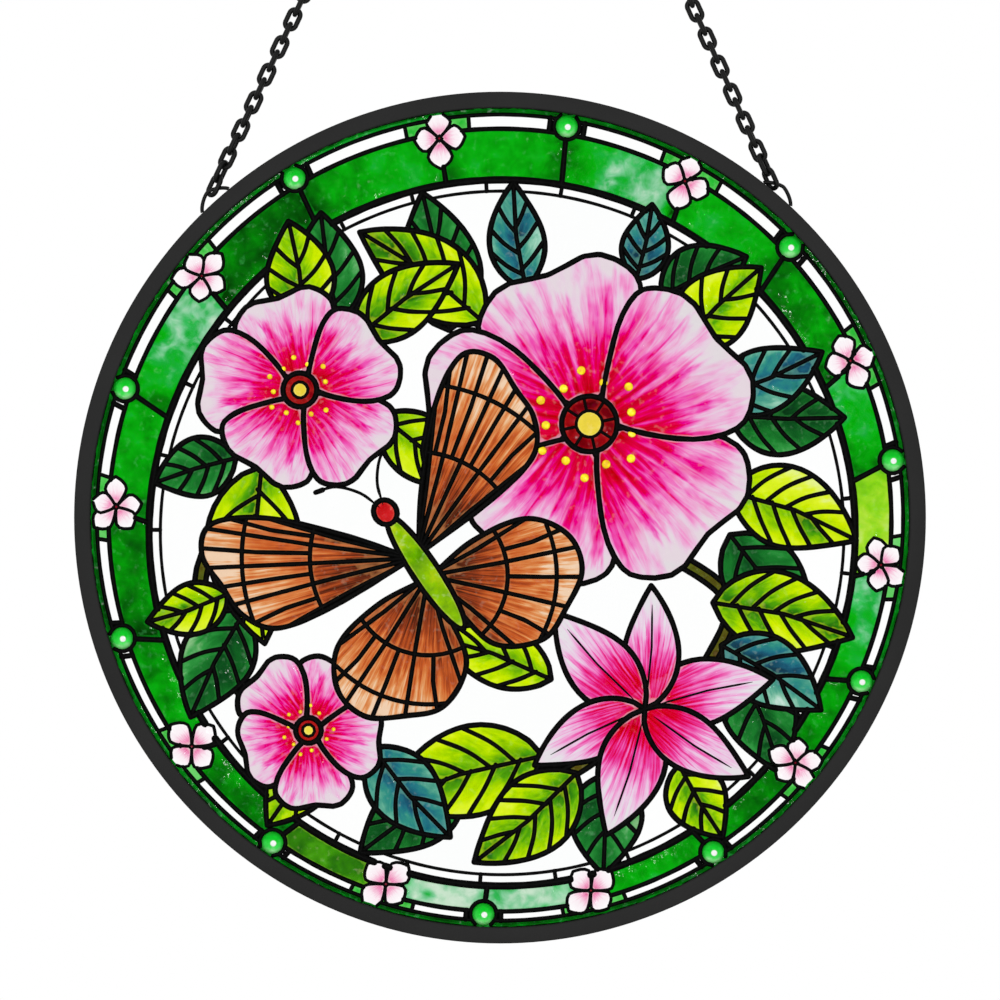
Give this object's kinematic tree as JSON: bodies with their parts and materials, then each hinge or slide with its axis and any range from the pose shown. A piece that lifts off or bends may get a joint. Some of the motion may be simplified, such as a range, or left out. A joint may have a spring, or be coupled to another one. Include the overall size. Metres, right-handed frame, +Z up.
{
  "type": "stained glass suncatcher",
  "caption": "Round stained glass window ornament: a flower and butterfly picture in raised black lines on glass, in a black metal frame, hung by chains from a ring.",
  "frame": {"origin": "inside top of the hanging ring, where a hook carries the part", "axes": "+X to the right seen from the front, +Y to the back, +Z up; the picture faces -Y"},
  "size_m": [0.2, 0.006, 0.327],
  "materials": {
    "frame_metal": "dark charcoal powder coat, satin",
    "stained_glass": "clear glass coloured in transparent greens, pinks, yellows, blues and orange, lightly hammered",
    "contour_black": "raised glossy black contour relief",
    "jewel_glass": "green glass cabochon, polished",
    "chain_metal": "black enamelled wire"
  },
  "bodies": {
    "root": {"frame_ring": "frame_metal", "panel_disc": "stained_glass", "contour_lines": "contour_black", "jewel_01": "jewel_glass", "jewel_02": "jewel_glass", "jewel_03": "jewel_glass", "jewel_04": "jewel_glass", "jewel_05": "jewel_glass", "jewel_06": "jewel_glass", "jewel_07": "jewel_glass", "jewel_08": "jewel_glass", "jewel_09": "jewel_glass", "jewel_10": "jewel_glass", "eye_left": "chain_metal", "eye_right": "chain_metal", "chain_left": "chain_metal", "chain_right": "chain_metal", "hanging_ring": "chain_metal"}
  },
  "joints": []
}
